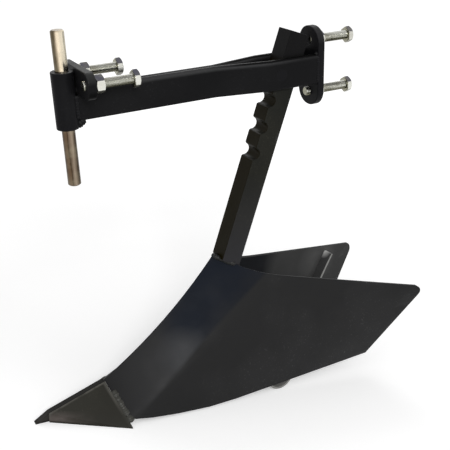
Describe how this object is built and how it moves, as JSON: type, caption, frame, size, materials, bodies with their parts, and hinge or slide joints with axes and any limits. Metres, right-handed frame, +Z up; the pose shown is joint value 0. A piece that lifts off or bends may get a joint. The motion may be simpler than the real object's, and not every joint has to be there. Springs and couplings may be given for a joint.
{
  "type": "walk-behind ridger",
  "caption": "V-shaped ridging plough on a notched square shank, held by set bolts in a forked beam with an upright hitch pin for a walk-behind tiller.",
  "frame": {"origin": "on the ground, under the middle of the overall length and width", "axes": "+Z up, -X towards the share's point, which is the way it is pulled; the Y = 0 plane is the mid-plane"},
  "size_m": [0.5691, 0.1828, 0.5209],
  "materials": {
    "paint": "satin black",
    "share_paint": "satin black, brownish",
    "yellow_zinc": "yellow zinc",
    "bright_zinc": "bright zinc"
  },
  "bodies": {
    "plough": {"share_point": "share_paint", "left_share": "share_paint", "right_share": "share_paint", "left_wing": "paint", "right_wing": "paint", "left_rib": "paint", "right_rib": "paint", "heel_tube": "paint", "shank": "paint"},
    "beam": {"left_bar": "paint", "right_bar": "paint", "fulcrum_pin": "paint", "clamp_plate": "paint", "hitch_plate": "paint", "hitch_tube": "paint"},
    "hitch_pin": {"hitch_pin": "yellow_zinc"},
    "left_steering_bolt": {"left_steering_bolt": "bright_zinc"},
    "right_steering_bolt": {"right_steering_bolt": "bright_zinc"},
    "left_steering_nut": {"left_steering_nut": "bright_zinc"},
    "right_steering_nut": {"right_steering_nut": "bright_zinc"},
    "upper_clamp_bolt": {"upper_clamp_bolt": "bright_zinc"},
    "lower_clamp_bolt": {"lower_clamp_bolt": "bright_zinc"},
    "upper_clamp_nut": {"upper_clamp_nut": "bright_zinc"},
    "lower_clamp_nut": {"lower_clamp_nut": "bright_zinc"}
  },
  "joints": [
    {"name": "beam_tilt", "type": "hinge", "parent": "plough", "child": "beam", "pos_m": [0.04294, 0, 0.4604], "axis": [0, 1, 0], "range_deg": [0, 20]},
    {"name": "hitch_pin_slide", "type": "slide", "parent": "beam", "child": "hitch_pin", "axis": [-0.1097, 0, 0.994], "range_m": [-0.04, 0.06]},
    {"name": "left_steering_bolt_slide", "type": "slide", "parent": "beam", "child": "left_steering_bolt", "axis": [0.994, 0, 0.1097], "range_m": [-0.03, 0.006]},
    {"name": "right_steering_bolt_slide", "type": "slide", "parent": "beam", "child": "right_steering_bolt", "axis": [0.994, 0, 0.1097], "range_m": [-0.026, 0.002]},
    {"name": "left_steering_nut_slide", "type": "slide", "parent": "beam", "child": "left_steering_nut", "axis": [0.994, 0, 0.1097], "range_m": [-0.0025, 0.0035]},
    {"name": "right_steering_nut_slide", "type": "slide", "parent": "beam", "child": "right_steering_nut", "axis": [0.994, 0, 0.1097], "range_m": [-0.0095, 0.006]},
    {"name": "upper_clamp_bolt_slide", "type": "slide", "parent": "beam", "child": "upper_clamp_bolt", "axis": [0.994, 0, 0.1097], "range_m": [-0.014, 0.0035]},
    {"name": "lower_clamp_bolt_slide", "type": "slide", "parent": "beam", "child": "lower_clamp_bolt", "axis": [0.994, 0, 0.1097], "range_m": [-0.018, 0.004]},
    {"name": "upper_clamp_nut_slide", "type": "slide", "parent": "beam", "child": "upper_clamp_nut", "axis": [0.994, 0, 0.1097], "range_m": [0, 0.006]},
    {"name": "lower_clamp_nut_slide", "type": "slide", "parent": "beam", "child": "lower_clamp_nut", "axis": [0.994, 0, 0.1097], "range_m": [0, 0.006]}
  ]
}
